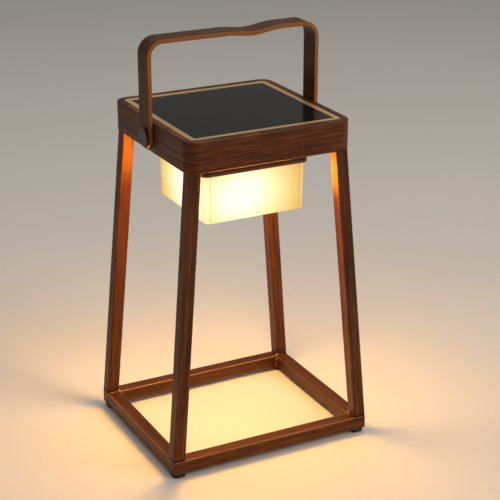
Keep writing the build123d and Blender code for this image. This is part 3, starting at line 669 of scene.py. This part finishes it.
def foot_bead(builder, side_x, side_y):
    """The bead round the two inner faces of a leg's foot, with a blob at their corner."""
    inner = Vector((side_x * (BASE_HALF_X - LEG), side_y * (BASE_HALF_Y - LEG), RAIL_TOP + FOOT_RISE))
    reach = LEG - FOOT_END_INSET
    path = []
    for index in range(FOOT_STEPS, 0, -1):
        path.append(inner + Vector((side_x * reach * index / FOOT_STEPS, 0, 0)))
    for index in range(FOOT_STEPS + 1):
        path.append(inner + Vector((0, side_y * reach * index / FOOT_STEPS, 0)))
    radii = []
    for index, point in enumerate(path):
        near_corner = math.exp(-(((index - FOOT_STEPS) / CORNER_SPREAD) ** 2))
        end = 0.5 if index in (0, len(path) - 1) else 1.0
        lump = FOOT_LUMP * noise.noise(point * 1400)
        radii.append(end * (FOOT_RADIUS + lump + FOOT_CORNER * near_corner))
    tube(builder, path, radii)


def bead_finish():
    """Glossy coating over a rippled bead, its colour lighter than the timber coat as a painted highlight.
    """
    look = Look("weld_bead", Metallic=0.55, Coat_Weight=0.8, Coat_Roughness=0.08)
    mottle = look.noise(look.position(), scale=420.0)
    # Painted highlight: the bead's colour is lighter than the timber coat it stands on.
    look.color(look.mix(mottle, (0.160, 0.060, 0.018), (0.42, 0.200, 0.075)))
    look.rough(look.span(mottle, 0.3, 0.7, 0.18, 0.34))
    look.bump(mottle, 0.0001, 0.6)
    return look.material


def add_bead(corner, material):
    """One corner's beads as a piece that rides on the lantern."""
    builder = bmesh.new()
    upright_bead(builder, *CORNERS[corner])
    foot_bead(builder, *CORNERS[corner])
    name = f"weld_bead_{corner}"
    mesh = bpy.data.meshes.new(name)
    builder.to_mesh(mesh)
    builder.free()
    for polygon in mesh.polygons:
        polygon.use_smooth = True
    mesh.materials.append(material)
    piece = bpy.data.objects.new(name, mesh)
    bpy.context.scene.collection.objects.link(piece)
    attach(piece, "lantern")


bead_material = bead_finish()
for corner in CORNERS:
    add_bead(corner, bead_material)

# ------------------------------------------------------------- floor, lights

FLOOR_HALF = 8.0
WORLD_COLOR = (1.0, 0.97, 0.93)
WORLD_STRENGTH = 0.24
STUDIO_TARGET = Vector((0, 0, 0.2))
GLOW_GAP = 0.002
GLOW_HEIGHT = 0.024
GLOW_DOWN_COLOR = (1.0, 0.50, 0.08)
GLOW_SIDE_COLOR = (1.0, 0.36, 0.02)


def add_floor():
    """A plain pale floor."""
    mesh = bpy.data.meshes.new("floor")
    builder = bmesh.new()
    bmesh.ops.create_grid(builder, x_segments=1, y_segments=1, size=FLOOR_HALF)
    builder.to_mesh(mesh)
    builder.free()
    floor = bpy.data.objects.new("floor", mesh)
    bpy.context.scene.collection.objects.link(floor)
    look = Look("floor_pale", Roughness=0.7)
    place = look.position()
    cloud = look.noise(place, scale=3.0, detail=2.0)
    look.color(look.mix(cloud, (0.70, 0.68, 0.65), (0.76, 0.74, 0.71)))
    look.bump(look.noise(place, scale=380.0), 0.0002, 0.3)
    mesh.materials.append(look.material)


def add_world():
    world = bpy.data.worlds.new("studio")
    world.use_nodes = True
    background = world.node_tree.nodes["Background"]
    background.inputs["Color"].default_value = opaque(WORLD_COLOR)
    background.inputs["Strength"].default_value = WORLD_STRENGTH
    bpy.context.scene.world = world


def softbox(name, location, target, size, power, color):
    """An area light that faces a point. The camera doesn't see it."""
    light = bpy.data.lights.new(name, "AREA")
    light.shape = "RECTANGLE"
    light.size, light.size_y = size
    light.energy = power
    light.color = color
    lamp = bpy.data.objects.new(name, light)
    lamp.location = location
    lamp.rotation_euler = (target - location).to_track_quat("-Z", "Y").to_euler()
    lamp.visible_camera = False
    bpy.context.scene.collection.objects.link(lamp)


def add_studio_lights():
    softbox("key", Vector((1.35, -1.75, 1.55)), STUDIO_TARGET, (1.1, 1.1), 23.0, (1.0, 0.91, 0.79))
    softbox("fill", Vector((-1.9, -1.0, 1.3)), STUDIO_TARGET, (1.4, 1.2), 1.5, (1.0, 0.97, 0.93))
    softbox("top", Vector((0.2, 0.5, 2.3)), STUDIO_TARGET, (1.6, 1.6), 15.0, (1.0, 0.97, 0.93))


def add_lamp_glow():
    """The lamp's own light, just outside the diffuser's faces."""
    below = Vector((0, 0, lamp_low.z - GLOW_GAP))
    softbox("glow_down", below, Vector((0, 0, 0)), (0.11, 0.11), 1.1, GLOW_DOWN_COLOR)
    middle = (lamp_low + lamp_high) / 2
    middle.z = lamp_low.z + GLOW_HEIGHT
    sides = {"front": (0, -1, 0), "back": (0, 1, 0), "left": (-1, 0, 0), "right": (1, 0, 0)}
    for side, way in sides.items():
        outwards = Vector(way)
        place = middle + outwards * (LAMP_HALF + GLOW_GAP)
        softbox(f"glow_{side}", place, place + outwards, (0.10, 0.04), 0.50, GLOW_SIDE_COLOR)


add_floor()
add_world()
add_studio_lights()
add_lamp_glow()
